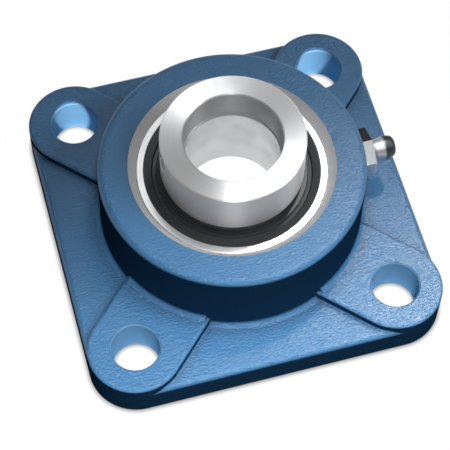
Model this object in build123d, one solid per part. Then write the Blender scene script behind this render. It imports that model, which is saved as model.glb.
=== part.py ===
from build123d import *
import os
from math import asin, cos, degrees, radians, sin, sqrt

# A four-bolt square flange housing with a self-aligning ball bearing insert
# The origin is on the bearing axis, in the plane of the mounting face
# +Z points out of the boss and +X points along the grease nipple

# Flange casting
bolt_spacing = 70.0
flange_side = 95.0
flange_height = 9.0
pad_height = 11.6
corner_relief = 1.5
flange_edge_radius = 1.4
pad_edge_radius = 0.8
pad_foot_radius = 0.5
back_edge_chamfer = 0.4
bolt_hole_d = 12.6
bolt_hole_chamfer = 0.35

# Boss of the casting
boss_wall = 9.0
boss_height = 31.5
boss_edge_radius = 1.8
foot_radius = 1.8
foot_sink = 0.05
foot_root = 1.5
foot_margin = 0.2
mouth_gap = 1.05
mouth_chamfer_depth = 2.75
back_mouth_chamfer = 1.0
slot_clearance = 0.2

# Spherical seat and bearing rings
seat_height = 21.5
insert_d = 52.0
outer_ring_width = 15.0
inner_ring_above = 14.0
inner_ring_below = 7.5
shaft_d = 25.0
ring_chamfer = 0.35
ring_bore_chamfer = 0.5
ring_face_width = 1.75
seat_clearance = 0.02

# Balls and raceways
ball_count = 9
ball_d = 7.938
race_depth = 6.5
raceway_ratio = 0.52
ball_clearance = 0.02
inner_groove_depth = 1.49
outer_groove_depth = 1.29

# Pressed cage in two riveted halves
cage_sheet = 0.7
cage_inner_gap = 0.8
cage_outer_gap = 1.0
pocket_clearance = 0.12
rivet_d = 1.2
rivet_head_d = 2.0
rivet_head_height = 0.4
fit_gap = 0.01

# Seals pressed in the outer ring and flingers pressed on the inner ring
seal_seat_depth = 2.0
seal_recess = 0.22
seal_lip_clearance = 0.05
seal_lip_drop = 0.2
seal_rim_reach = 2.44
seal_rim_width = 0.3
seal_slope = 0.55
seal_sheet = 0.6
seal_web = 0.3
flinger_gap = 0.9
flinger_sheet = 0.4
flinger_height = 6.95

# Eccentric locking collar
collar_d = 37.4
collar_width = 13.5
collar_offset = 9.5
collar_bore_clearance = 0.25
collar_edge_chamfer = 0.3
collar_bore_chamfer = 0.3
cam_shoulder = 1.6
cam_eccentricity = 0.8
cam_start = 8.0
cam_clearance = 0.35
cam_end_gap = 0.4

# Set screw and blind drift hole in the collar
screw_d = 6.0
screw_length = 5.5
screw_socket = 3.0
screw_socket_depth = 2.6
screw_clearance = 0.03
screw_shaft_gap = 0.5
screw_height = 18.7
screw_angle = 178.0
screw_hole_bevel = 0.4
drift_hole_d = 6.0
drift_hole_depth = 4.0
drift_hole_angle = 70.0

# Grease path and nipple
lube_groove_start = 0.6
lube_groove_width = 4.6
lube_groove_depth = 0.9
lube_passage_d = 2.6
ring_hole_d = 1.4
ring_hole_height = 4.4
ring_hole_angle = 60.0
nipple_height = 22.0
nipple_thread_d = 8.0
nipple_thread_length = 6.0
nipple_wall = 2.2
nipple_seat_d = 13.6
nipple_hex = 11.0
nipple_hex_height = 4.0
nipple_hex_bevel = 0.3
nipple_hex_turn = 34.0
nipple_neck_d = 5.1
nipple_head_d = 6.4
nipple_tip_d = 5.9
nipple_head_height = 3.9
nipple_length = 10.6
nipple_tip_radius = 1.5
nipple_bore_d = 3.0
nipple_inlet_d = 1.7
nipple_inlet_length = 1.7
nipple_lip_d = 2.0
nipple_lip_height = 0.4
nipple_ball_d = 2.5
nipple_ball_clearance = 0.02
spring_wire_d = 0.35
spring_turns = 7

# Values worked out from the driving dimensions
pad_width = flange_side - bolt_spacing
bolt_reach = bolt_spacing / sqrt(2)
seat_d = insert_d + 2 * seat_clearance
boss_d = insert_d + 2 * boss_wall
mouth_d = insert_d + 2 * mouth_gap
pitch_d = insert_d - 2 * race_depth
nipple_seat_x = insert_d / 2 + nipple_wall + nipple_thread_length
ring_half = outer_ring_width / 2
ball_r = ball_d / 2
raceway_r = raceway_ratio * ball_d
shoulder_inner_d = pitch_d - ball_d - 2 * ball_clearance + 2 * inner_groove_depth
shoulder_outer_d = pitch_d + ball_d + 2 * ball_clearance - 2 * outer_groove_depth
cage_half_height = ball_r + pocket_clearance + cage_sheet
cage_inner_d = shoulder_inner_d + 2 * cage_inner_gap
cage_outer_d = shoulder_outer_d - 2 * cage_outer_gap
seal_inner_face = ring_half - seal_seat_depth
seal_seat_d = 2 * (sqrt((insert_d / 2)**2 - ring_half**2) - ring_face_width)
seal_step_d = seal_seat_d - 2 * seal_rim_reach
flinger_d = seal_step_d - 2 * flinger_gap
cam_d = shoulder_inner_d - 2 * cam_shoulder
ball_step = 360 / ball_count
cut_margin = 1.0
tiny = 0.05


def revolved(points):
    """Turns a closed outline of (radius, height) points about the bearing axis."""
    outline = Plane.XZ * Polyline(*points, close=True)
    return revolve(make_face(outline), Axis.Z)


def tube(outer_d, inner_d, low, high):
    """A plain round tube about the bearing axis."""
    outer = Pos(0, 0, low) * Cylinder(outer_d / 2, high - low, align=BASE)
    inner = Pos(0, 0, low) * Cylinder(inner_d / 2, high - low, align=BASE)
    return outer - inner


def at_bearing(shape):
    """Lifts a piece drawn about the bearing's middle to its place in the housing."""
    return Pos(0, 0, seat_height) * shape


def radial(angle, height, shape):
    """Turns a piece drawn along +Z to point outwards from the bearing axis."""
    return Pos(0, 0, height) * Rot(0, 0, angle) * Rot(0, 90, 0) * shape


def circle_height(radius, across):
    """Height on a circle of that radius at a distance across from its centre."""
    return sqrt(radius**2 - across**2)


BASE = (Align.CENTER, Align.CENTER, Align.MIN)


# Housing
def flange_plate():
    """Square plate with a soft top edge, its corners just inside the round pad ends."""
    plate = RectangleRounded(flange_side, flange_side, pad_width / 2 + corner_relief)
    plate = extrude(plate, flange_height)
    return fillet(plate.edges().group_by(Axis.Z)[-1], flange_edge_radius)


def pad_outline(width):
    """Flat strip from the boss to a bolt hole, round at its outer end."""
    strip = Pos(bolt_reach / 2, 0) * Rectangle(bolt_reach, width)
    return strip + Pos(bolt_reach, 0) * Circle(width / 2)


def bolt_pads():
    """Four raised pads on the diagonals of the flange."""
    pad = extrude(pad_outline(pad_width), pad_height)
    return [Rot(0, 0, 45 + 90 * i) * pad for i in range(4)]


def level_edge(edge, height):
    """Whether an edge lies flat at that height."""
    box = edge.bounding_box()
    return abs(box.min.Z - height) < tiny and abs(box.max.Z - height) < tiny


def from_axis(edge, share):
    """Distance from the bearing axis to a point part of the way along an edge."""
    point = edge.position_at(share)
    return sqrt(point.X**2 + point.Y**2)


def is_pad_foot(edge):
    """Whether an edge runs straight along a pad's foot, from the flare outwards."""
    starts = min(from_axis(edge, 0), from_axis(edge, 1)) < boss_d / 2 + foot_radius
    return starts and edge.geom_type == GeomType.LINE and level_edge(edge, flange_height)


def is_pad_rim(edge):
    """Whether an edge is part of a pad's upper outline, outside the boss."""
    plain = edge.geom_type in (GeomType.LINE, GeomType.CIRCLE)
    outside = from_axis(edge, 0.5) > boss_d / 2 + foot_radius
    return plain and outside and level_edge(edge, pad_height)


def foot_flare(level):
    """Ring with a hollow corner round the boss's foot, rooted in the plate and in the boss."""
    wall = boss_d / 2
    low = level - foot_sink
    root = low - foot_root
    outline = Polyline((wall + foot_radius, low), (wall + foot_radius, root), (wall - foot_root, root),
                       (wall - foot_root, low + foot_radius), (wall, low + foot_radius))
    hollow = RadiusArc((wall, low + foot_radius), (wall + foot_radius, low), -foot_radius)
    return revolve(make_face(Plane.XZ * (outline + hollow)), Axis.Z)


def pad_flares():
    """The flare on each pad, kept to the flat between the pad's soft edges."""
    width = pad_width - 2 * (pad_edge_radius + foot_margin)
    strip = extrude(Pos(bolt_reach / 2, 0) * Rectangle(bolt_reach, width), boss_height)
    ring = foot_flare(pad_height)
    return [ring & (Rot(0, 0, 45 + 90 * i) * strip) for i in range(4)]


def make_casting():
    """Flange, pads and boss as one casting, with hollow feet and soft upper edges."""
    column = Cylinder(boss_d / 2, boss_height, align=BASE)
    column = fillet(column.edges().group_by(Axis.Z)[-1], boss_edge_radius)
    casting = flange_plate() + bolt_pads() + column + foot_flare(flange_height)
    casting = fillet(casting.edges().filter_by(is_pad_foot), pad_foot_radius)
    casting = fillet(casting.edges().filter_by(is_pad_rim), pad_edge_radius)
    casting += pad_flares()
    return chamfer(casting.edges().group_by(Axis.Z)[0], back_edge_chamfer)


def seat_cut():
    """Spherical seat, open at the mouth and at the back, with its grease groove."""
    ball = at_bearing(Sphere(seat_d / 2))
    mouth_low = boss_height - mouth_chamfer_depth
    throat = circle_height(seat_d / 2, mouth_low - seat_height)
    mouth = revolved([(0, mouth_low), (throat, mouth_low), (mouth_d / 2, boss_height),
                      (mouth_d / 2, boss_height + cut_margin), (0, boss_height + cut_margin)])
    back_r = circle_height(seat_d / 2, ring_half)
    back = revolved([(0, -cut_margin), (back_r + back_mouth_chamfer + cut_margin, -cut_margin),
                     (back_r, back_mouth_chamfer), (back_r, seat_height), (0, seat_height)])
    low = seat_height + lube_groove_start
    groove = tube(seat_d + 2 * lube_groove_depth, shaft_d, low, low + lube_groove_width)
    return ball + mouth + back + groove


def loading_slots():
    """Two slots at the back that let the insert in crosswise, up to the seat's middle."""
    width = outer_ring_width + 2 * slot_clearance
    disc = Cylinder(insert_d / 2 + slot_clearance, seat_height + cut_margin, align=BASE)
    bar = Box(width, insert_d * 2, seat_height + cut_margin, align=BASE)
    return Pos(0, 0, -cut_margin) * (disc & bar)


def bolt_holes():
    """Four straight bolt holes with broken edges."""
    r = bolt_hole_d / 2
    top = r + bolt_hole_chamfer
    hole = revolved([(0, -cut_margin), (r, -cut_margin), (r, pad_height - bolt_hole_chamfer),
                     (top, pad_height), (top, pad_height + cut_margin), (0, pad_height + cut_margin)])
    return [place * hole for place in GridLocations(bolt_spacing, bolt_spacing, 2, 2)]


def nipple_cut():
    """Spot face, tapped hole and grease passage for the nipple."""
    far = boss_d / 2 + cut_margin
    thread_end = nipple_seat_x - nipple_thread_length - cut_margin
    spot = Pos(0, 0, nipple_seat_x) * Cylinder(nipple_seat_d / 2, far - nipple_seat_x, align=BASE)
    tapped = Pos(0, 0, thread_end) * Cylinder(nipple_thread_d / 2 + fit_gap, far - thread_end, align=BASE)
    passage = Pos(0, 0, pitch_d / 2) * Cylinder(lube_passage_d / 2, far - pitch_d / 2, align=BASE)
    return radial(0, nipple_height, spot + tapped + passage)


def make_housing():
    """The whole casting with its machined faces, holes and seat."""
    casting = make_casting() - seat_cut()
    casting -= loading_slots()
    casting -= bolt_holes()
    return casting - nipple_cut()


# Bearing rings
def raceway(bottom_r, side):
    """Round groove for the balls, with its deepest circle at bottom_r."""
    return Torus(bottom_r + side * raceway_r, raceway_r)


def make_outer_ring():
    """Outer ring with a spherical outside, a raceway, two seal seats and two grease holes."""
    seal_r = seal_seat_d / 2
    shoulder_r = shoulder_outer_d / 2
    step = seal_inner_face
    blank = revolved([(shoulder_r, -step), (seal_r, -step), (seal_r, -ring_half),
                      (insert_d, -ring_half), (insert_d, ring_half), (seal_r, ring_half),
                      (seal_r, step), (shoulder_r, step)])
    ring = blank & Sphere(insert_d / 2)
    ring = chamfer(ring.edges().group_by(Axis.Z)[-1].sort_by(SortBy.RADIUS)[-1], ring_chamfer / 2)
    ring = chamfer(ring.edges().group_by(Axis.Z)[0].sort_by(SortBy.RADIUS)[-1], ring_chamfer / 2)
    ring -= raceway(pitch_d / 2 + ball_r + ball_clearance, -1)
    hole = Cylinder(ring_hole_d / 2, insert_d, align=BASE)
    for angle in (ring_hole_angle, ring_hole_angle + 180):
        ring -= radial(angle, ring_hole_height, hole)
    return at_bearing(ring)


def cam_circle(radius):
    """Circle of the eccentric cam or of the recess that grips it."""
    return Pos(cam_eccentricity, 0) * Circle(radius)


def make_inner_ring():
    """Inner ring with a raceway and, on the long side, an eccentric cam."""
    bore_r = shaft_d / 2
    shoulder_r = shoulder_inner_d / 2
    c = ring_chamfer
    d = ring_bore_chamfer
    body = revolved([(bore_r - cut_margin, -inner_ring_below), (shoulder_r - c, -inner_ring_below),
                     (shoulder_r, c - inner_ring_below), (shoulder_r, cam_start - c),
                     (shoulder_r - c, cam_start), (bore_r - cut_margin, cam_start)])
    cam = Pos(0, 0, cam_start) * extrude(cam_circle(cam_d / 2), inner_ring_above - cam_start)
    cam = chamfer(cam.edges().group_by(Axis.Z)[-1], ring_chamfer)
    bore = revolved([(0, -inner_ring_below), (bore_r + d, -inner_ring_below),
                     (bore_r, d - inner_ring_below), (bore_r, inner_ring_above - d),
                     (bore_r + d, inner_ring_above), (0, inner_ring_above)])
    ring = body + cam - bore
    return at_bearing(ring - raceway(pitch_d / 2 - ball_r - ball_clearance, 1))


# Balls and cage
def ball_places(turn=0.0):
    """Places on the pitch circle, one for each ball, turned by that angle."""
    return [Rot(0, 0, turn + ball_step * i) * Pos(pitch_d / 2, 0, 0) for i in range(ball_count)]


def make_cage_half():
    """Pressed ribbon: a flat band with a round pocket over each ball, riveted between them."""
    pocket_r = ball_r + pocket_clearance
    band = tube(cage_outer_d, cage_inner_d, 0, cage_sheet)
    domes = [place * Sphere(pocket_r + cage_sheet) for place in ball_places()]
    room = tube(cage_outer_d, cage_inner_d, 0, cage_half_height)
    half = band + [room & dome for dome in domes]
    half -= [place * Sphere(pocket_r) for place in ball_places()]
    rivet_hole = Cylinder(rivet_d / 2 + fit_gap, 2 * cage_sheet + cut_margin)
    return half - [place * rivet_hole for place in ball_places(ball_step / 2)]


def make_rivets():
    """One rivet between each pair of balls, headed on both faces of the cage."""
    shank = Cylinder(rivet_d / 2, 2 * cage_sheet)
    head = Pos(0, 0, cage_sheet) * Cylinder(rivet_head_d / 2, rivet_head_height, align=BASE)
    head = chamfer(head.edges().group_by(Axis.Z)[-1], rivet_head_height / 2)
    rivet = shank + head + mirror(head, Plane.XY)
    return Compound([at_bearing(place * rivet) for place in ball_places(ball_step / 2)])


# Seals and flingers
def make_seal():
    """Seal on the collar side: a cased outer rim and a lip that runs on the inner ring."""
    rim_r = seal_seat_d / 2 - fit_gap
    lip_r = shoulder_inner_d / 2 + seal_lip_clearance
    low = seal_inner_face + fit_gap
    top = ring_half - seal_recess
    lip_low = low - seal_lip_drop
    return revolved([(rim_r, low), (rim_r, top), (rim_r - seal_rim_width, top),
                     (seal_step_d / 2 + seal_rim_width, top - seal_slope),
                     (seal_step_d / 2, low + seal_sheet), (lip_r + seal_rim_width, low + seal_web),
                     (lip_r, low + seal_sheet - seal_lip_drop), (lip_r, lip_low),
                     (lip_r + seal_rim_width, low)])


def make_flinger():
    """Pressed steel disc that turns with the inner ring and shields the seal lip."""
    hub_r = shoulder_inner_d / 2 + fit_gap
    rim_r = flinger_d / 2
    s = flinger_sheet
    top = flinger_height
    return revolved([(hub_r, top - 2 * s), (hub_r, top + s), (hub_r + s, top + s),
                     (hub_r + 2 * s, top), (rim_r - s / 2, top), (rim_r, top - s / 2),
                     (rim_r, top - 3 * s / 2), (rim_r - s, top - 3 * s / 2), (rim_r - s, top - s),
                     (hub_r + s, top - s), (hub_r + s, top - 2 * s)])


# Locking collar
def make_collar():
    """Turned collar with an eccentric recess, a tapped hole and a blind drift hole."""
    outer_r = collar_d / 2
    bore_r = shaft_d / 2 + collar_bore_clearance
    low = collar_offset
    top = collar_offset + collar_width
    e = collar_edge_chamfer
    b = collar_bore_chamfer
    collar = revolved([(bore_r, low), (outer_r - e, low), (outer_r, low + e), (outer_r, top - e),
                       (outer_r - e, top), (bore_r + b, top), (bore_r, top - b)])
    recess_end = inner_ring_above + cam_end_gap
    recess = Pos(0, 0, low) * extrude(cam_circle(cam_d / 2 + cam_clearance), recess_end - low)
    collar -= recess
    tapped = Cylinder(screw_d / 2, collar_d, align=BASE)
    bevel = Cone(screw_d / 2, screw_d / 2 + 2 * screw_hole_bevel, 2 * screw_hole_bevel, align=BASE)
    bevel = Pos(0, 0, outer_r - screw_hole_bevel) * bevel
    collar -= radial(screw_angle, screw_height, tapped + bevel)
    drift_low = outer_r - drift_hole_depth
    drift = Pos(0, 0, drift_low) * Cylinder(drift_hole_d / 2, collar_d, align=BASE)
    collar -= radial(drift_hole_angle, screw_height, drift)
    return at_bearing(collar)


def make_set_screw():
    """Socket set screw with a cup point, just clear of the shaft."""
    r = screw_d / 2 - screw_clearance
    low = shaft_d / 2 + screw_shaft_gap
    screw = Pos(0, 0, low) * Cylinder(r, screw_length, align=BASE)
    screw = chamfer(screw.edges().group_by(Axis.Z)[0], screw_d / 8)
    cup = Pos(0, 0, low) * Cone(r / 2, 0, r / 2, align=BASE)
    socket = extrude(RegularPolygon(screw_socket / 2, 6, major_radius=False), screw_socket_depth)
    socket = Pos(0, 0, low + screw_length - screw_socket_depth) * socket
    return at_bearing(radial(screw_angle, screw_height, screw - cup - socket))


# Grease nipple
def nipple_head():
    """Flared neck and blunt, well rounded head, from the hexagon outwards."""
    neck = nipple_neck_d / 2
    head = nipple_head_d / 2
    tip = nipple_tip_d / 2
    low = nipple_hex_height
    shape = revolved([(0, 0), (neck, 0), (neck, low), (head, low + nipple_head_height),
                      (tip, nipple_length), (0, nipple_length)])
    return fillet(shape.edges().group_by(Axis.Z)[-1], nipple_tip_radius)


def nipple_hexagon():
    """Hexagon of the nipple with its outer corners turned off at 30 degrees."""
    flat = nipple_hex / 2
    corner = flat / cos(radians(30))
    blank = extrude(RegularPolygon(flat, 6, major_radius=False), nipple_hex_height)
    corner_low = nipple_hex_height - (corner - flat + nipple_hex_bevel) * sin(radians(30)) / cos(radians(30))
    cone = revolved([(0, 0), (corner, 0), (corner, corner_low),
                     (flat - nipple_hex_bevel, nipple_hex_height), (0, nipple_hex_height)])
    return Rot(0, 0, nipple_hex_turn) * (blank & cone)


def make_nipple_body():
    """Grease nipple: threaded shank, hexagon, flared head and a check valve's bore."""
    shank = Pos(0, 0, -nipple_thread_length) * Cylinder(nipple_thread_d / 2, nipple_thread_length, align=BASE)
    shank = chamfer(shank.edges().group_by(Axis.Z)[0], ring_chamfer)
    body = nipple_hexagon() + shank + nipple_head()
    low = -nipple_thread_length
    seat_end = nipple_length - nipple_inlet_length
    lip = nipple_lip_d / 2
    seat = nipple_inlet_d / 2
    bore_r = nipple_bore_d / 2
    bore = revolved([(0, low), (lip, low), (lip, low + nipple_lip_height), (bore_r, low + nipple_lip_height),
                     (bore_r, seat_end - bore_r + seat), (seat, seat_end), (seat, nipple_length), (0, nipple_length)])
    return radial(0, nipple_height, Pos(0, 0, nipple_seat_x) * (body - bore))


def check_ball_place():
    """Distance of the closed check ball's centre from the nipple's seat face."""
    cone_tip = nipple_length - nipple_inlet_length + nipple_inlet_d / 2
    return cone_tip - (nipple_ball_d / 2 + nipple_ball_clearance) * sqrt(2)


def make_check_ball():
    """Ball that closes the nipple's inlet from inside."""
    place = Pos(0, 0, nipple_seat_x + check_ball_place())
    return radial(0, nipple_height, place * Sphere(nipple_ball_d / 2))


def make_check_spring():
    """Coil spring from the crimped lip of the shank to the check ball."""
    coil_r = nipple_bore_d / 2 - spring_wire_d
    wire_r = spring_wire_d / 2
    low = nipple_lip_height - nipple_thread_length + wire_r + nipple_ball_clearance
    reach = nipple_ball_d / 2 + wire_r + nipple_ball_clearance
    high = check_ball_place() - circle_height(reach, coil_r)
    path = Helix(pitch=(high - low) / spring_turns, height=high - low, radius=coil_r)
    wire = sweep(Plane(path @ 0, z_dir=path % 0) * Circle(wire_r), path=path, is_frenet=True)
    return radial(0, nipple_height, Pos(0, 0, nipple_seat_x + low) * wire)


# Whole unit
cage_front = make_cage_half()
front_seal = make_seal()
front_flinger = make_flinger()
nodes = {
    "housing": make_housing(),
    "outer_ring": make_outer_ring(),
    "inner_ring": make_inner_ring(),
    "cage_front": at_bearing(cage_front),
    "cage_rear": at_bearing(mirror(cage_front, Plane.XY)),
    "cage_rivets": make_rivets(),
    "front_seal": at_bearing(front_seal),
    "rear_seal": at_bearing(mirror(front_seal, Plane.XY)),
    "front_flinger": at_bearing(front_flinger),
    "rear_flinger": at_bearing(mirror(front_flinger, Plane.XY)),
    "locking_collar": make_collar(),
    "set_screw": make_set_screw(),
    "nipple_body": make_nipple_body(),
    "nipple_ball": make_check_ball(),
    "nipple_spring": make_check_spring(),
}
for number, place in enumerate(ball_places(), start=1):
    nodes[f"ball_{number}"] = at_bearing(place * Sphere(ball_r))

lock_angle = degrees(2 * asin(cam_clearance / (2 * cam_eccentricity)))
print("free turn of the collar on the cam, each way:", round(lock_angle, 2), "degrees")

os.makedirs("parts", exist_ok=True)
for name, shape in nodes.items():
    export_step(shape, f"parts/{name}.step")
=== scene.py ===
# %% [markdown]
# A four-bolt flange bearing unit, dressed for the camera.
# A flange bearing holds the end of a shaft on a wall: a cast square with four bolt holes, and a
# ball bearing in its round boss. The solids of the part come in as a fixed frame, in metres,
# and stay where they are. This notebook gives every surface its real finish, adds the nipple's
# finer shape that the solids leave out, and sets up the studio in which it is photographed.

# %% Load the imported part
import math

import bpy
from mathutils import Matrix, Vector


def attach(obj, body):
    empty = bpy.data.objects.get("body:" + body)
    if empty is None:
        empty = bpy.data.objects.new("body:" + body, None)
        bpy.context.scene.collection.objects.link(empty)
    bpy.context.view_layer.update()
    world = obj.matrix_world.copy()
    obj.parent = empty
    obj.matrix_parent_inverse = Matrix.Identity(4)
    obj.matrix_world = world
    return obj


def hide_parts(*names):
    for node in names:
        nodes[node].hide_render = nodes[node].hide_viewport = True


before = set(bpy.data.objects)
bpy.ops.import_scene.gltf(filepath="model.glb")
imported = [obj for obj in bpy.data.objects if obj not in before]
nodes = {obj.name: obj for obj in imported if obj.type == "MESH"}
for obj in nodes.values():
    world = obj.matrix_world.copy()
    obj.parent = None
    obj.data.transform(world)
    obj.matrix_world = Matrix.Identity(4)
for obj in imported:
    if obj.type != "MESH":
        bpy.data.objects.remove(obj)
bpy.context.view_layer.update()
MM = 0.001


def in_mm(*lengths):
    """Lengths in millimetres, for printing."""
    return [round(length / MM, 2) for length in lengths]


# %% [markdown]
# The camera stands where the photographer's stood. It could be placed by eye, but then every
# comparison with the photograph is a guess. So its place was worked out from the four bolt
# holes and the rings, whose real spacing is known: a long lens, 61 degrees above the floor and
# a little to the left of the front. The lens is given in pixels of the photograph's width.

# %% Directions of the camera
camera_azimuth = math.radians(-17.25)
camera_elevation = math.radians(61.04)
camera_roll = math.radians(2.09)
camera_aim_right = -0.0030
camera_aim_up = -0.0013


def camera_axes():
    """The camera's right, up and forward directions, and the direction from the part to it."""
    level = math.cos(camera_elevation)
    back = Vector((math.sin(camera_azimuth) * level, -math.cos(camera_azimuth) * level,
                   math.sin(camera_elevation)))
    right = Vector((math.cos(camera_azimuth), math.sin(camera_azimuth), 0))
    up = right.cross(-back)
    turn = Matrix.Rotation(camera_roll, 3, back)
    right, up = turn @ right, turn @ up
    forward = (-back + camera_aim_right * right + camera_aim_up * up).normalized()
    right = (right - forward * right.dot(forward)).normalized()
    return back, right, right.cross(forward), forward


print("camera looks along", [round(v, 4) for v in camera_axes()[3]])

# %% The camera itself
camera_distance = 0.4689
focal_px = 1710.84
frame_px = 450
sensor_mm = 36.0


def add_camera():
    """A long lens at the photograph's distance."""
    back, right, up, forward = camera_axes()
    data = bpy.data.cameras.new("photo_camera")
    data.sensor_width = sensor_mm
    data.lens = focal_px / frame_px * sensor_mm
    data.clip_start = 0.01
    data.clip_end = 60
    camera = bpy.data.objects.new("photo_camera", data)
    bpy.context.scene.collection.objects.link(camera)
    place = Matrix((right, up, -forward)).transposed().to_4x4()
    place.translation = back * camera_distance
    camera.matrix_world = place
    bpy.context.scene.camera = camera
    print("camera at", in_mm(*place.translation), "mm with a lens of", round(data.lens, 1), "mm")


add_camera()
bpy.context.scene.view_settings.view_transform = "Standard"

# %% [markdown]
# All the finishes are node materials. A node tree can be wired by hand, link by link, but in
# code that takes many lines. These helpers add a node, set its properties and link its inputs
# in one call, so each material below reads like a recipe.

# %% Helpers for node trees
def new_material(name):
    """An empty node material and its tree."""
    material = bpy.data.materials.new(name)
    material.use_nodes = True
    tree = material.node_tree
    tree.nodes.clear()
    return material, tree


def add_node(tree, kind, **values):
    """Adds a node, sets its properties, and links or sets its inputs by name or as i0, i1."""
    node = tree.nodes.new(kind)
    for key, value in values.items():
        if hasattr(node, key):
            setattr(node, key, value)
            continue
        by_number = key[1:].isdigit()
        socket = node.inputs[int(key[1:])] if by_number else node.inputs[key.replace("_", " ")]
        if isinstance(value, bpy.types.NodeSocket):
            tree.links.new(value, socket)
        else:
            socket.default_value = value
    return node


def math_node(tree, operation, first, second=0.0, third=0.0):
    """One arithmetic step; returns its output."""
    node = add_node(tree, "ShaderNodeMath", operation=operation, i0=first, i1=second, i2=third)
    return node.outputs[0]


def ramp(tree, value, low, high, low_out=0.0, high_out=1.0):
    """Maps a value from one range to another, clamped."""
    return add_node(tree, "ShaderNodeMapRange", Value=value, From_Min=low, From_Max=high,
                    To_Min=low_out, To_Max=high_out).outputs[0]


print("node helpers ready; Blender", bpy.app.version_string)

# %% [markdown]
# A finish that changes from place to place has to know where it is on the part. The Object
# coordinates are metres from the bearing's axis, so the distance from that axis, or from the
# nearest bolt hole, is a little arithmetic. The absolute value of x and y folds the four
# corners onto one, and so one test finds all four holes.

# %% Measures on the part
bolt_place = 35 * MM
hole_radius = 6.5 * MM


def coordinates(tree):
    """Place on the part, in metres, and its three parts."""
    place = add_node(tree, "ShaderNodeTexCoord").outputs["Object"]
    parts = add_node(tree, "ShaderNodeSeparateXYZ", Vector=place).outputs
    return place, parts["X"], parts["Y"], parts["Z"]


def length2(tree, a, b):
    """Length of a flat vector."""
    squares = math_node(tree, "ADD", math_node(tree, "MULTIPLY", a, a), math_node(tree, "MULTIPLY", b, b))
    return math_node(tree, "SQRT", squares)


def in_bolt_hole(tree, reach=hole_radius):
    """1 within that reach of a bolt hole's axis, 0 elsewhere."""
    place, x, y, z = coordinates(tree)
    across = math_node(tree, "SUBTRACT", math_node(tree, "ABSOLUTE", x), bolt_place)
    along = math_node(tree, "SUBTRACT", math_node(tree, "ABSOLUTE", y), bolt_place)
    return math_node(tree, "LESS_THAN", length2(tree, across, along), reach)


print("bolt holes at", in_mm(bolt_place, bolt_place), "mm, radius", in_mm(hole_radius))

# %% [markdown]
# The floor is white paper. Lighting paper until it is pure white would burn out the part, so
# its white is a glow that only the lens and shiny surfaces see, dimmed close to the part for
# the soft contact shadow. The light that the paper throws back on the walls is dim. Only the
# paper at the foot of each bolt hole throws its light back in full, up the painted hole.

# %% The floor's paper
floor_seen_paint = 0.06
floor_seen_glow = 0.985
contact_reach = 1.6 * MM
contact_tone = 0.25
contact_closed = 0.40
contact_open = 0.95
floor_bounce = 0.06
hole_floor_bounce = 0.85


def seen_by_eye(tree):
    """1 for what the lens, a mirror or a glass sees, 0 for the light that a surface gathers."""
    path = add_node(tree, "ShaderNodeLightPath").outputs
    return math_node(tree, "MAXIMUM", path["Is Camera Ray"],
                     math_node(tree, "MAXIMUM", path["Is Glossy Ray"], path["Is Transmission Ray"]))


def paper_material():
    """White paper with a contact shadow, which throws little light back."""
    material, tree = new_material("white_paper")
    seen = seen_by_eye(tree)
    paint = add_node(tree, "ShaderNodeBsdfDiffuse", Color=(floor_seen_paint,) * 3 + (1,))
    openness = add_node(tree, "ShaderNodeAmbientOcclusion", samples=16, Distance=contact_reach).outputs["AO"]
    shade = ramp(tree, openness, contact_closed, contact_open, contact_tone, 1.0)
    glow = add_node(tree, "ShaderNodeEmission", Strength=math_node(tree, "MULTIPLY", shade, floor_seen_glow))
    shown = add_node(tree, "ShaderNodeAddShader", i0=paint.outputs[0], i1=glow.outputs[0])
    level = math_node(tree, "MULTIPLY_ADD", in_bolt_hole(tree), hole_floor_bounce - floor_bounce, floor_bounce)
    bounce = add_node(tree, "ShaderNodeBsdfDiffuse", Color=level)
    mix = add_node(tree, "ShaderNodeMixShader", i0=seen, i1=bounce.outputs[0], i2=shown.outputs[0])
    add_node(tree, "ShaderNodeOutputMaterial", Surface=mix.outputs[0])
    return material


white_paper = paper_material()
print("paper seen at", floor_seen_glow, "throws back", floor_bounce, "and in the holes", hole_floor_bounce)

# %% The floor itself
floor_size = 30.0
floor_drop = 0.00002


def add_floor():
    """A large sheet just under the part."""
    bpy.ops.object.select_all(action="DESELECT")
    bpy.ops.mesh.primitive_plane_add(size=floor_size, location=(0, 0, -floor_drop))
    floor = bpy.context.object
    floor.name = "floor"
    floor.data.materials.append(white_paper)
    print("floor", [round(v, 2) for v in floor.dimensions], "m")


add_floor()

# %% [markdown]
# The sky is the studio's dim walls and ceiling. One soft bright patch behind the part, like a
# white card, is what the flat steel mirrors, and it gives the steel its grey. Near the horizon
# the walls look pale in the steel, so that the collar's round side isn't black. An image of a
# studio could do the same, but a patch made from one direction is easy to move.

# %% Sky
sky_low = 0.07
sky_patch = 0.72
sky_patch_dull = 1.00
patch_direction = (58.0, 70.0)
patch_core = 6.0
patch_edge = 28.0
sky_band = 0.30
band_full_height = 0.45
band_end_height = 0.75


def towards(direction, distance):
    """Place at a distance, for an azimuth and a height above the horizon in degrees."""
    turn, rise = (math.radians(v) for v in direction)
    level = math.cos(rise)
    return Vector((math.cos(turn) * level, math.sin(turn) * level, math.sin(rise))) * distance


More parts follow.
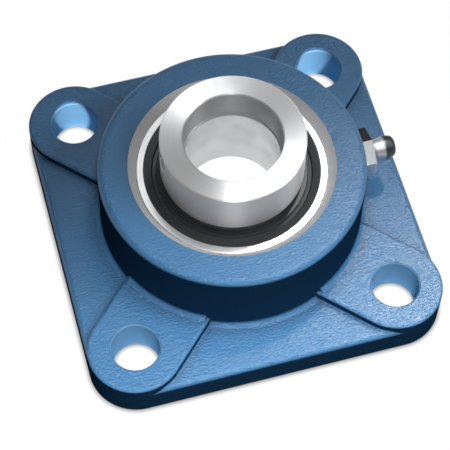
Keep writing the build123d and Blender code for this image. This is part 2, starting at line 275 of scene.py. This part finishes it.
def add_sky():
    """A dim sky with one soft bright patch, and pale walls that shiny steel mirrors."""
    world = bpy.data.worlds.new("studio")
    bpy.context.scene.world = world
    world.use_nodes = True
    tree = world.node_tree
    tree.nodes.clear()
    direction = add_node(tree, "ShaderNodeTexCoord").outputs["Generated"]
    nearness = add_node(tree, "ShaderNodeVectorMath", operation="DOT_PRODUCT", i0=direction,
                        i1=tuple(towards(patch_direction, 1.0))).outputs["Value"]
    patch = add_node(tree, "ShaderNodeMapRange", interpolation_type="SMOOTHSTEP", Value=nearness,
                     From_Min=math.cos(math.radians(patch_edge)),
                     From_Max=math.cos(math.radians(patch_core)), To_Min=sky_low, To_Max=1.0).outputs[0]
    height = add_node(tree, "ShaderNodeSeparateXYZ", Vector=direction).outputs["Z"]
    path = add_node(tree, "ShaderNodeLightPath").outputs
    mirrored = path["Is Glossy Ray"]
    patch = math_node(tree, "MULTIPLY", patch, ramp(tree, mirrored, 0.0, 1.0, sky_patch_dull, sky_patch))
    band = ramp(tree, height, band_full_height, band_end_height, sky_band, 0.0)
    band = math_node(tree, "MULTIPLY", band, mirrored)
    strength = math_node(tree, "MAXIMUM", math_node(tree, "MAXIMUM", patch, band), path["Is Camera Ray"])
    sky = add_node(tree, "ShaderNodeBackground", Strength=strength)
    add_node(tree, "ShaderNodeOutputWorld", Surface=sky.outputs[0])
    print("sky nodes", len(tree.nodes), "patch towards", patch_direction)


add_sky()

# %% [markdown]
# Every lamp is placed by the direction it shines from, as an azimuth and a height in degrees,
# and turned to look at a point. The main light is a beam from the front, high above the
# camera. A beam with a fully soft edge fades across the part, so the near side is the
# brightest and the far corners fall into shade. A sun would light all of it the same.

# %% The fading beam
beam_aim = Vector((-0.010, -0.120, 0.0))
beam_direction = (258.0, 70.0)
beam_distance = 0.8
beam_cone = 20.9
beam_watts = 29.5
lamp_radius = 0.03


def add_lamp(name, kind, place, aim, watts):
    """A lamp that looks at a point."""
    data = bpy.data.lights.new(name, kind)
    data.energy = watts
    lamp = bpy.data.objects.new(name, data)
    bpy.context.scene.collection.objects.link(lamp)
    turn = (Vector(aim) - place).to_track_quat("-Z", "Y")
    lamp.matrix_world = Matrix.LocRotScale(place, turn, None)
    print(name, watts, "W at", in_mm(*place), "mm")
    return lamp


def add_beam(name, aim, direction, distance, watts, cone, blend, radius):
    """A round beam that shines on a point from a direction."""
    beam = add_lamp(name, "SPOT", aim + towards(direction, distance), aim, watts)
    beam.data.spot_size = math.radians(cone)
    beam.data.spot_blend = blend
    beam.data.shadow_soft_size = radius
    return beam


beam = add_beam("beam", beam_aim, beam_direction, beam_distance, beam_watts, beam_cone, 1.0, lamp_radius)

# %% [markdown]
# Two soft lamps add form. The one on the right, low, rakes over the cast skin and draws the
# slanted wedge on the collar. The one behind is a small card whose light only shiny surfaces
# show: it brightens the steel rings without lifting the shade on the far corners.

# %% The soft lamps on the right and behind
side_direction = (-20.0, 46.0)
side_size = 0.30
side_watts = 1.6
back_direction = (52.0, 69.0)
back_size = 0.12
back_watts = 1.0
soft_lamp_distance = 0.8
part_middle = (0, 0, 0.02)


def add_soft_lamp(name, direction, size, watts):
    """A square lamp that shines on the middle of the part."""
    lamp = add_lamp(name, "AREA", towards(direction, soft_lamp_distance), part_middle, watts)
    lamp.data.size = size
    return lamp


side_lamp = add_soft_lamp("side_lamp", side_direction, side_size, side_watts)
back_lamp = add_soft_lamp("back_lamp", back_direction, back_size, back_watts)
back_lamp.visible_diffuse = False

# %% [markdown]
# On the near right corner the enamel has a sheen, the reflection of a lamp far behind the
# part. It is strongest at the corner and gone at the boss, so it comes from a soft-edged beam
# that is aimed beyond the corner. It too is seen by shiny surfaces only: it makes no shadow
# and doesn't bleach the blue.

# %% The sheen on the near right corner
sheen_aim = Vector((0.060, -0.072, 0.0))
sheen_direction = (58.0, 66.0)
sheen_distance = 0.8
sheen_cone = 12.0
sheen_watts = 50.0
sheen_lamp = add_beam("sheen_lamp", sheen_aim, sheen_direction, sheen_distance, sheen_watts,
                      sheen_cone, 1.0, lamp_radius)
sheen_lamp.visible_diffuse = False

# %% [markdown]
# In the photograph the walls of the two far bolt holes are the brightest blue of all. Light
# that falls straight into a hole could come from one big lamp, but that lamp would also light
# the pads. Two narrow spots, each aimed at the far wall of its hole, light nothing else.

# %% The spots in the far bolt holes
hole_lamp_turn = 18.0
hole_lamp_rise = 55.0
hole_lamp_distance = 0.3
hole_lamp_cone = 2.0
hole_lamp_blend = 0.5
hole_lamp_watts = 5.0
hole_lamp_radius = 0.0002
hole_wall_back = 4.0 * MM
hole_wall_height = 0.008
front = 270.0

for side_sign in (-1, 1):
    wall = Vector((side_sign * bolt_place, bolt_place + hole_wall_back, hole_wall_height))
    add_beam("hole_spot", wall, (front + side_sign * hole_lamp_turn, hole_lamp_rise), hole_lamp_distance,
             hole_lamp_watts, hole_lamp_cone, hole_lamp_blend, hole_lamp_radius)

# %% [markdown]
# A finish is colour, gloss and relief. All three get their small changes from noise, whose
# size is given here in metres, so a blob of one millimetre is one millimetre on the metal.
# The relief could be cut into the mesh, but at this fineness it would take millions of faces;
# a bump in the material bends the light in the same way.

# %% Helpers for the finishes
def noise(tree, place, size, detail=3.0, roughness=0.5, distortion=0.0):
    """Noise whose blobs are about that many metres across; returns a value from 0 to 1."""
    return add_node(tree, "ShaderNodeTexNoise", Vector=place, Scale=1 / size, Detail=detail,
                    Roughness=roughness, Distortion=distortion).outputs[0]


def lathe_lines(tree, across, along, size, detail=2.0, roughness=0.5):
    """Noise that stays the same all the way round the axis, as the marks of a lathe do."""
    place = add_node(tree, "ShaderNodeCombineXYZ", X=across, Y=0.0, Z=along).outputs[0]
    return noise(tree, place, size, detail, roughness)


def blend(tree, kind, sockets, factor, first, second):
    """Blends two inputs of a Mix node and returns its output."""
    node = add_node(tree, "ShaderNodeMix", data_type=kind)
    for number, value in zip(sockets, (factor, first, second)):
        if isinstance(value, bpy.types.NodeSocket):
            tree.links.new(value, node.inputs[number])
        elif isinstance(value, tuple):
            node.inputs[number].default_value = value + (1,)
        else:
            node.inputs[number].default_value = value
    return node.outputs[2] if kind == "RGBA" else node.outputs[0]


def mix_colour(tree, factor, first, second):
    """Blends two colours."""
    return blend(tree, "RGBA", (0, 6, 7), factor, first, second)


def mix_value(tree, factor, first, second):
    """Blends two numbers."""
    return blend(tree, "FLOAT", (0, 2, 3), factor, first, second)


print("finish helpers ready")

# %% [markdown]
# The last step of a finish is the same for all: one Principled shader and the output. A bump
# node turns a height from 0 to 1 into relief of a real depth. How much a face looks up, from
# the geometry's normal, tells a floor-like face from a wall.

# %% Relief, facing and the shader
def bump(tree, height, depth, **values):
    """Surface relief of that depth in metres for a height from 0 to 1."""
    return add_node(tree, "ShaderNodeBump", Height=height, Distance=depth, Strength=1.0, **values).outputs[0]


def facing(tree, axis):
    """How much a face looks along an axis, from -1 to 1."""
    normal = add_node(tree, "ShaderNodeNewGeometry").outputs["Normal"]
    return add_node(tree, "ShaderNodeSeparateXYZ", Vector=normal).outputs[axis]


def surface(tree, **values):
    """The shader and the output."""
    shader = add_node(tree, "ShaderNodeBsdfPrincipled", **values)
    add_node(tree, "ShaderNodeOutputMaterial", Surface=shader.outputs[0])


def dress(node_name, material):
    """Gives a node of the part its finish."""
    mesh = nodes[node_name].data
    mesh.materials.clear()
    mesh.materials.append(material)


print("nodes to dress", sorted(nodes))

# %% [markdown]
# The walls and deep corners of the casting are meant to be far darker than the light here makes them, so
# painted shade darkens the enamel's colour there. The depth of a corner could be painted by hand. An Ambient
# Occlusion node measures it instead: it looks how much of the sky a point sees within a few millimetres.

# %% Painted shade in the casting's corners
corner_reach = 7.0 * MM
corner_closed = 0.30
corner_open = 0.92


def corner_shade(tree):
    """1 on open faces and 0 deep in the corners, where shade is painted into the coat's colour."""
    openness = add_node(tree, "ShaderNodeAmbientOcclusion", samples=12, only_local=True,
                        Distance=corner_reach).outputs["AO"]
    return ramp(tree, openness, corner_closed, corner_open)


print("corner shade reaches", in_mm(corner_reach), "mm")

# %% [markdown]
# Under the paint the skin of the sand mould still shows as a fine leathery relief, a little
# longer than it is wide. The drilled holes carry faint rings from the drill and the turned
# mouth finer ones from the lathe. Paint rounds every cast edge, and a Bevel node rounds it in
# the shading, softly on cast edges and hardly at all on machined ones.

# %% Relief of the cast skin
skin_size = 0.90 * MM
skin_stretch = (1.0, 1.6, 1.6)
skin_share = 0.85
skin_depth = 0.50 * MM
grain_size = 0.30 * MM
drill_line_size = 0.35 * MM
drill_line_height = 0.15
mouth_line_size = 0.10 * MM
mouth_line_height = 0.02
mouth_radius = 27.03 * MM
soft_edge = 1.1 * MM
crisp_edge = 0.15 * MM


def skin_relief(tree, place):
    """Height of the cast skin, and the fine grain that is part of it."""
    stretched = add_node(tree, "ShaderNodeVectorMath", operation="MULTIPLY", i0=place,
                         i1=skin_stretch).outputs[0]
    skin = noise(tree, stretched, skin_size, 2.5, 0.5, 0.3)
    grain = noise(tree, place, grain_size, 2.0, 0.5)
    relief = math_node(tree, "ADD", math_node(tree, "MULTIPLY", skin, skin_share),
                       math_node(tree, "MULTIPLY", grain, 1 - skin_share))
    return relief, grain


def enamel_normal(tree, place, from_axis, z, in_hole, bare):
    """Relief of the skin, over edges that the paint rounds."""
    relief, grain = skin_relief(tree, place)
    drill_lines = lathe_lines(tree, 0.0, z, drill_line_size)
    mouth_lines = lathe_lines(tree, from_axis, z, mouth_line_size)
    height = mix_value(tree, in_hole, relief, math_node(tree, "MULTIPLY", drill_lines, drill_line_height))
    height = mix_value(tree, bare, height, math_node(tree, "MULTIPLY", mouth_lines, mouth_line_height))
    near_hole = in_bolt_hole(tree, hole_radius + soft_edge)
    near_mouth = math_node(tree, "LESS_THAN", from_axis, mouth_radius + soft_edge)
    rounding = mix_value(tree, math_node(tree, "MAXIMUM", near_hole, near_mouth), soft_edge, crisp_edge)
    rounded = add_node(tree, "ShaderNodeBevel", samples=8, Radius=rounding).outputs[0]
    return bump(tree, height, skin_depth, Normal=rounded), grain


print("skin blobs", in_mm(skin_size), "mm, relief", in_mm(skin_depth), "mm")

# %% [markdown]
# One material dresses the whole casting, because it is one piece with one coat. It blends four colours by
# place: the blue of the faces that look up, a dark blue of painted shade on the walls and in the deep corners,
# the pale blue in the drilled holes, and the bare iron of the mouth and the back face, which are turned after
# the painting. Separate materials would need the faces sorted; a blend needs none of that.

# %% Blue enamel on the casting
enamel_blue = (0.066, 0.260, 0.540)
wall_painted_shade = (0.010, 0.042, 0.095)
hole_blue = (0.220, 0.470, 0.720)
bare_iron = (0.940, 0.950, 0.960)
back_face_height = 0.05 * MM
wall_facing = 0.15
floor_facing = 0.60
enamel_gloss = 0.66
enamel_roughness = (0.34, 0.44)
bare_roughness = 0.50


def enamel_material():
    """Blue enamel over a cast skin, with a bare turned mouth and painted drilled holes."""
    material, tree = new_material("blue_enamel_casting")
    place, x, y, z = coordinates(tree)
    from_axis = length2(tree, x, y)
    in_hole = in_bolt_hole(tree)
    bare = math_node(tree, "MAXIMUM", math_node(tree, "LESS_THAN", from_axis, mouth_radius),
                     math_node(tree, "LESS_THAN", z, back_face_height))
    relief, grain = enamel_normal(tree, place, from_axis, z, in_hole, bare)
    upward = ramp(tree, facing(tree, "Z"), wall_facing, floor_facing)
    # painted shade: walls and deep corners are darkened towards a dark blue in the colour itself
    blue = mix_colour(tree, math_node(tree, "MULTIPLY", upward, corner_shade(tree)), wall_painted_shade, enamel_blue)
    blue = mix_colour(tree, in_hole, blue, hole_blue)
    roughness = mix_value(tree, bare, ramp(tree, grain, 0.3, 0.7, *enamel_roughness), bare_roughness)
    surface(tree, Base_Color=mix_colour(tree, bare, blue, bare_iron), Metallic=0.0,
            Specular_IOR_Level=ramp(tree, upward, 0.10, 0.90, 0.0, enamel_gloss),
            Roughness=roughness, Normal=relief)
    print(material.name, "nodes", len(tree.nodes))
    return material


dress("housing", enamel_material())

# %% [markdown]
# The rings and the collar are turned or ground. A turned face has fine rings about the axis and stretches every
# highlight across them, which draws the bright wedges on the collar. The Anisotropic input does that, with a
# radial tangent about the axis. Bump lines alone would need to be thinner than a pixel. Near the seals an
# occlusion node paints shade into the colour at the foot of a ring, the collar's round side gets painted shade
# where it faces sideways, and the bore is a little darker than the faces.

# %% Turned and ground steel
bore_reach = 12.62 * MM
bore_edge = 0.5 * MM
bore_colour = (0.640, 0.650, 0.655)
black = (0.0, 0.0, 0.0)
foot_reach = 7.0 * MM
foot_closed = 0.25
foot_open = 0.80
foot_painted_shade = 0.35
side_facing = 0.10
smear_size = 6 * MM


def steel_tone(tree, colour, rings, from_axis, side_shade_share):
    """Colour of the steel: darker rings, a darker bore, and painted shade at the foot and on the side."""
    tone = mix_colour(tree, ramp(tree, rings, 0.3, 0.7), tuple(c * 0.88 for c in colour), colour)
    tone = mix_colour(tree, math_node(tree, "LESS_THAN", from_axis, bore_reach), tone, bore_colour)
    # painted shade: faces that look sideways keep only a share of their colour
    share = ramp(tree, facing(tree, "Z"), side_facing, floor_facing, side_shade_share, 1.0)
    # painted shade: the foot near the seals is darkened by an occlusion node, the bore is left out
    openness = add_node(tree, "ShaderNodeAmbientOcclusion", samples=8, Distance=foot_reach).outputs["AO"]
    shade = ramp(tree, openness, foot_closed, foot_open, foot_painted_shade, 1.0)
    in_bore = math_node(tree, "LESS_THAN", from_axis, bore_reach + bore_edge)
    shade = math_node(tree, "MAXIMUM", shade, in_bore)
    return mix_colour(tree, math_node(tree, "MULTIPLY", shade, share), black, tone)


def steel_material(name, colour, roughness, anisotropy, ring_size, ring_depth, side_shade_share=1.0):
    """Steel turned about the bearing axis."""
    material, tree = new_material(name)
    place, x, y, z = coordinates(tree)
    from_axis = length2(tree, x, y)
    rings = lathe_lines(tree, from_axis, z, ring_size, 3.0, 0.6)
    smear = noise(tree, place, smear_size, 2.0)
    tangent = add_node(tree, "ShaderNodeTangent", direction_type="RADIAL", axis="Z").outputs[0]
    surface(tree, Base_Color=steel_tone(tree, colour, rings, from_axis, side_shade_share), Metallic=1.0,
            Anisotropic=anisotropy, Anisotropic_Rotation=0.25, Tangent=tangent,
            Roughness=ramp(tree, smear, 0.3, 0.7, roughness * 0.85, roughness * 1.15),
            Normal=bump(tree, rings, ring_depth))
    print(name, "nodes", len(tree.nodes))
    return material


ring_steel = steel_material("ground_ring_steel", (0.96, 0.97, 0.98), 0.42, 0.0, 0.12 * MM, 0.002 * MM)
collar_steel = steel_material("turned_collar_steel", (0.90, 0.905, 0.915), 0.45, 0.90, 0.16 * MM, 0.003 * MM,
                              side_shade_share=0.62)
for name in ("outer_ring", "inner_ring"):
    dress(name, ring_steel)
dress("locking_collar", collar_steel)

# %% [markdown]
# The small pieces each have one plain finish: satin rubber on the seals, black oxide on the
# flingers, bright steel on the set screw and the spring, a mirror polish on the balls and
# pressed sheet for the cage. They share one recipe, a fine grain and a slight change of tone
# and gloss, because even a plain piece looks false when it is the same all over.

# %% Rubber, blackened steel, plate and balls
tone_variation = 0.15


def plain_material(name, colour, metallic, roughness, grain, depth):
    """A finish with a fine grain and a little change of tone and gloss."""
    material, tree = new_material(name)
    place, x, y, z = coordinates(tree)
    fine = noise(tree, place, grain)
    broad = ramp(tree, noise(tree, place, 12 * grain), 0.3, 0.7)
    tone = mix_colour(tree, broad, tuple(c * (1 - tone_variation) for c in colour), colour)
    surface(tree, Base_Color=tone, Metallic=metallic,
            Roughness=ramp(tree, fine, 0.3, 0.7, roughness * 0.85, roughness * 1.15),
            Normal=bump(tree, fine, depth))
    return material


finishes = {}
for name, colour, metallic, roughness, grain, depth, pieces in (
        ("satin_seal_rubber", (0.050, 0.055, 0.059), 0.0, 0.42, 0.25, 0.004, ("front_seal", "rear_seal")),
        ("blackened_flinger", (0.030, 0.032, 0.035), 0.0, 0.36, 0.20, 0.002, ("front_flinger", "rear_flinger")),
        ("bright_screw", (0.80, 0.81, 0.82), 1.0, 0.30, 0.20, 0.002, ("set_screw",)),
        ("bright_zinc", (0.62, 0.64, 0.66), 1.0, 0.30, 0.20, 0.001, ("nipple_body",)),
        ("polished_ball", (0.82, 0.83, 0.84), 1.0, 0.06, 0.50, 0.0002,
         tuple(node for node in nodes if node.startswith("ball_")) + ("nipple_ball",)),
        ("pressed_cage_steel", (0.50, 0.50, 0.49), 1.0, 0.32, 0.30, 0.002,
         ("cage_front", "cage_rear", "cage_rivets")),
        ("spring_wire", (0.42, 0.42, 0.43), 1.0, 0.25, 0.10, 0.0005, ("nipple_spring",))):
    finishes[name] = plain_material(name, colour, metallic, roughness, grain * MM, depth * MM)
    for piece in pieces:
        dress(piece, finishes[name])
    print(name, "on", len(pieces))

# %% [markdown]
# The grease nipple is turned from hexagon bar. The solid of the part has its plain shape, so
# here it gets a finer one. The hexagon starts as a six-sided prism. An inset on each end face
# and a bridge between the two insets open it into a ring, and a bevel breaks the outer corners
# as the bar's chamfer does. A boolean cut would leave a rougher mesh.

# %% Pick faces and edges by their place
nipple_seat = 34.2 * MM
nipple_height = 22.0 * MM


def select_only(mesh_object, kind, test):
    """Selects the faces or edges whose middle passes a test, and counts them."""
    bpy.ops.object.mode_set(mode="EDIT")
    bpy.ops.mesh.select_mode(type=kind)
    bpy.ops.mesh.select_all(action="DESELECT")
    bpy.ops.object.mode_set(mode="OBJECT")
    mesh = mesh_object.data
    items = mesh.polygons if kind == "FACE" else mesh.edges
    for item in items:
        corners = [mesh.vertices[i].co for i in item.vertices]
        item.select = test(sum(corners, Vector()) / len(corners))
    bpy.ops.object.mode_set(mode="EDIT")
    return sum(item.select for item in items)


def from_nipple_axis(point):
    """Distance of a point from the nipple's axis."""
    return math.hypot(point.y, point.z - nipple_height)


print("nipple starts at", in_mm(nipple_seat), "mm, height", in_mm(nipple_height), "mm")

# %% The nipple's hexagon
hexagon_flats = 11.0 * MM
hexagon_length = 4.0 * MM
hexagon_corner_angle = 35.0
hexagon_bevel = 0.35 * MM
hexagon_inside = 2.3 * MM
end_face_reach = 0.1 * MM
rim_depth = 0.01 * MM
half_side = math.cos(math.radians(30))


def make_hexagon():
    """Six-sided ring, cut from a prism."""
    bpy.ops.object.select_all(action="DESELECT")
    corner = hexagon_flats / 2 / half_side
    bpy.ops.mesh.primitive_cylinder_add(vertices=6, radius=corner, depth=hexagon_length,
                                        rotation=(0, math.pi / 2, 0))
    hexagon = bpy.context.object
    bpy.ops.object.transform_apply(location=True, rotation=True, scale=True)
    hexagon.rotation_euler = (math.radians(hexagon_corner_angle), 0, 0)
    hexagon.location = (nipple_seat + hexagon_length / 2, 0, nipple_height)
    bpy.ops.object.transform_apply(location=True, rotation=True, scale=True)
    select_only(hexagon, "FACE", lambda middle: from_nipple_axis(middle) < end_face_reach)
    bpy.ops.mesh.inset(thickness=(corner - hexagon_inside) * half_side)
    bpy.ops.mesh.bridge_edge_loops()
    outer_end = nipple_seat + hexagon_length
    rim = select_only(hexagon, "EDGE", lambda middle: middle.x > outer_end - rim_depth
                      and from_nipple_axis(middle) > hexagon_flats * 0.45)
    bpy.ops.mesh.bevel(offset=hexagon_bevel, segments=2)
    bpy.ops.object.mode_set(mode="OBJECT")
    print("hexagon edges broken", rim, "faces", len(hexagon.data.polygons))
    return hexagon


hexagon = make_hexagon()

# %% [markdown]
# The shank, the neck and the flared head are one turned shape round the bore in which the
# check ball sits. Its outline goes from the shank's inner end out along the skin, over the
# rounded tip and back through the bore to where it began. It is written as places along the
# axis and radii, the two numbers that a lathe is set by.

# %% The nipple's turned outline
shank_radius = 4.0 * MM
shank_length = 6.0 * MM
lip_radius = 1.0 * MM
lip_length = 0.4 * MM
bore_radius = 1.5 * MM
inlet_radius = 0.85 * MM
inlet_length = 1.7 * MM
neck_radius = 2.5 * MM
head_radius = 3.2 * MM
tip_radius = 2.95 * MM
tip_round = 1.4 * MM
tip_steps = 5
nipple_length = 10.6 * MM


def nipple_profile():
    """Places along the axis and radii of the turned shape, from the shank's end and back to it."""
    low = -shank_length
    neck = hexagon_length + 0.5 * MM
    crown = nipple_length - 2.7 * MM
    valve = nipple_length - inlet_length
    points = [(low, lip_radius), (low, shank_radius - lip_length), (low + lip_length, shank_radius),
              (0.2 * MM, shank_radius), (0.2 * MM, neck_radius), (neck, neck_radius),
              (neck + 0.7 * MM, neck_radius + 0.08 * MM), (crown - 0.5 * MM, head_radius - 0.1 * MM),
              (crown, head_radius), (crown + 0.4 * MM, head_radius - 0.02 * MM)]
    for step in range(tip_steps + 1):
        turn = math.radians(90 * step / tip_steps)
        points.append((nipple_length - tip_round * (1 - math.sin(turn)),
                       tip_radius - tip_round * (1 - math.cos(turn))))
    points += [(nipple_length, inlet_radius + 0.15 * MM), (nipple_length - 0.2 * MM, inlet_radius),
               (valve, inlet_radius), (valve - bore_radius + inlet_radius, bore_radius),
               (low + lip_length, bore_radius), (low + lip_length, lip_radius), (low, lip_radius)]
    return points


print("outline points", len(nipple_profile()))

# %% [markdown]
# The outline could be spun about the axis. Here one ring of points is drawn out instead, since
# that shows how a turned piece grows: each pass moves the ring along the axis and to a new
# radius, until the last ring meets the first. Merging the two closes the skin, and the normals
# are then made to point outwards.

# %% The nipple's shank, neck and head
nipple_sides = 48
merge_reach = 0.002 * MM


def make_turned_nipple():
    """Turned shape of the nipple, drawn ring by ring."""
    points = nipple_profile()
    bpy.ops.object.select_all(action="DESELECT")
    bpy.ops.mesh.primitive_circle_add(vertices=nipple_sides, radius=points[0][1], fill_type="NOTHING",
                                      rotation=(0, math.pi / 2, 0),
                                      location=(nipple_seat + points[0][0], 0, nipple_height))
    turned = bpy.context.object
    bpy.ops.object.transform_apply(location=True, rotation=True, scale=True)
    bpy.ops.object.mode_set(mode="EDIT")
    bpy.ops.mesh.select_all(action="SELECT")
    for (x, radius), (next_x, next_radius) in zip(points, points[1:]):
        bpy.ops.mesh.extrude_region_move(TRANSFORM_OT_translate={"value": (next_x - x, 0, 0)})
        share = next_radius / radius
        bpy.ops.transform.resize(value=(1, share, share),
                                 center_override=(nipple_seat + next_x, 0, nipple_height))
    bpy.ops.mesh.select_all(action="SELECT")
    bpy.ops.mesh.remove_doubles(threshold=merge_reach)
    bpy.ops.mesh.normals_make_consistent(inside=False)
    bpy.ops.object.mode_set(mode="OBJECT")
    print("turned nipple rings", len(points) - 1, "faces", len(turned.data.polygons))
    return turned


turned_nipple = make_turned_nipple()

# %% [markdown]
# The bar stock of the nipple is bright, its neck is given painted shade from the head, and the head is darker.
# The colours follow the distance along the nipple's axis, with soft changes from one to the next. The flats
# that look to the back are given a dark tone by where they face, a painted reflection of a dark part of the
# studio.

# %% The nipple's finish
dark_head = (0.060, 0.068, 0.075)
bright_bar = (0.640, 0.665, 0.690)
neck_painted_shade = (0.080, 0.086, 0.092)
flat_painted_reflection = (0.040, 0.045, 0.050)
neck_fade = (4.2 * MM, 5.6 * MM)
head_fade = (7.2 * MM, 7.9 * MM)
flat_fade = (0.10, 0.35)


def nipple_material():
    """Bright bar stock with painted shade on the neck, a painted dark reflection on the back flats, and a
    darker head.
    """
    material, tree = new_material("bar_and_darker_head")
    place, x, y, z = coordinates(tree)
    along = math_node(tree, "SUBTRACT", x, nipple_seat)
    grain = noise(tree, place, 0.20 * MM)
    # painted shade: the neck below the head is darkened
    tone = mix_colour(tree, ramp(tree, along, *neck_fade), neck_painted_shade, bright_bar)
    tone = mix_colour(tree, ramp(tree, along, *head_fade), tone, dark_head)
    # painted reflection: flats that face the back are darkened
    flats = mix_colour(tree, ramp(tree, facing(tree, "Y"), *flat_fade), bright_bar, flat_painted_reflection)
    on_hexagon = math_node(tree, "LESS_THAN", along, hexagon_length + rim_depth)
    tone = mix_colour(tree, on_hexagon, tone, flats)
    surface(tree, Base_Color=tone, Metallic=1.0, Roughness=ramp(tree, grain, 0.3, 0.7, 0.40, 0.52),
            Normal=bump(tree, grain, 0.002 * MM))
    print(material.name, "nodes", len(tree.nodes))
    return material


nipple_steel = nipple_material()

# %% [markdown]
# On the real nipple the hexagon and the turned shape are one piece of steel, so they are
# joined in one object, which takes the place of the plain solid. It rides on the housing's
# body, because it is screwed into the boss and moves only with it. Smooth shading stops at
# angles over 25 degrees, so the flats stay flat and the head stays round.

# %% Join the nipple
smooth_angle = math.radians(25)
bpy.ops.object.select_all(action="DESELECT")
hexagon.select_set(True)
turned_nipple.select_set(True)
bpy.context.view_layer.objects.active = turned_nipple
bpy.ops.object.join()
bpy.ops.object.shade_smooth_by_angle(angle=smooth_angle)
grease_nipple = bpy.context.object
grease_nipple.name = "grease_nipple"
grease_nipple.data.materials.append(nipple_steel)
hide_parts("nipple_body")
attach(grease_nipple, "housing")
print("grease nipple faces", len(grease_nipple.data.polygons))
